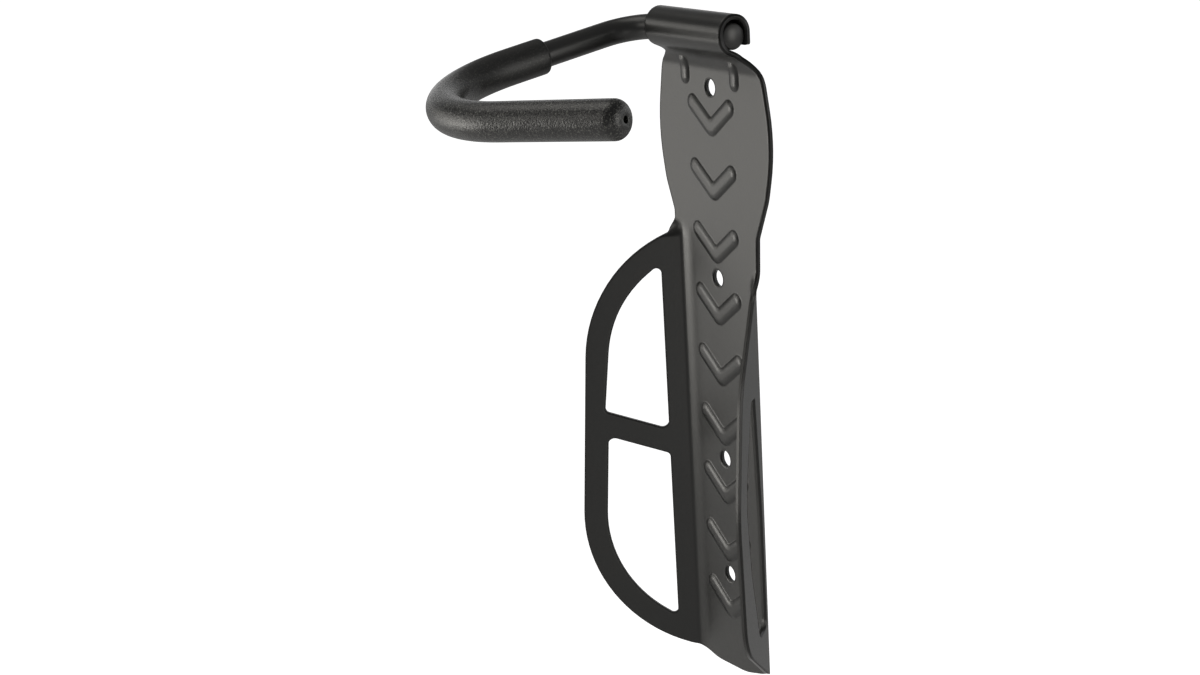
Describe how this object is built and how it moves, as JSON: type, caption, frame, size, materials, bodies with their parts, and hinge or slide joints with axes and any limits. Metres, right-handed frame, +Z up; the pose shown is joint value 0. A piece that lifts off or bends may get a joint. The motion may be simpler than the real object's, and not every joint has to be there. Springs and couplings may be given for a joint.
{
  "type": "bike wall hanger",
  "caption": "Wall-mounted bike hanger: a folded steel plate whose top is rolled into an eye, a foam-sleeved rod hook that folds up in it, and side wings that hold the tyre.",
  "frame": {"origin": "on the wall face of the plate, on its centre line, halfway between the top and the bottom screw hole", "axes": "+Z up, +Y into the wall, +X to the right when the hanger is seen from the front"},
  "size_m": [0.1307, 0.1192, 0.2717],
  "materials": {
    "powder_coat": "semi-gloss black powder coat",
    "rod_paint": "semi-gloss black paint",
    "foam": "grainy matt foam",
    "pin_steel": "plain"
  },
  "bodies": {
    "plate": {"back_plate": "powder_coat"},
    "hook": {"hook_rod": "rod_paint", "grip_sleeve": "foam", "stop_pin": "pin_steel"}
  },
  "joints": [
    {"name": "hook_fold", "type": "hinge", "parent": "plate", "child": "hook", "pos_m": [0, -0.00705, 0.1218], "axis": [-1, 0, 0], "range_deg": [0, 97]}
  ]
}
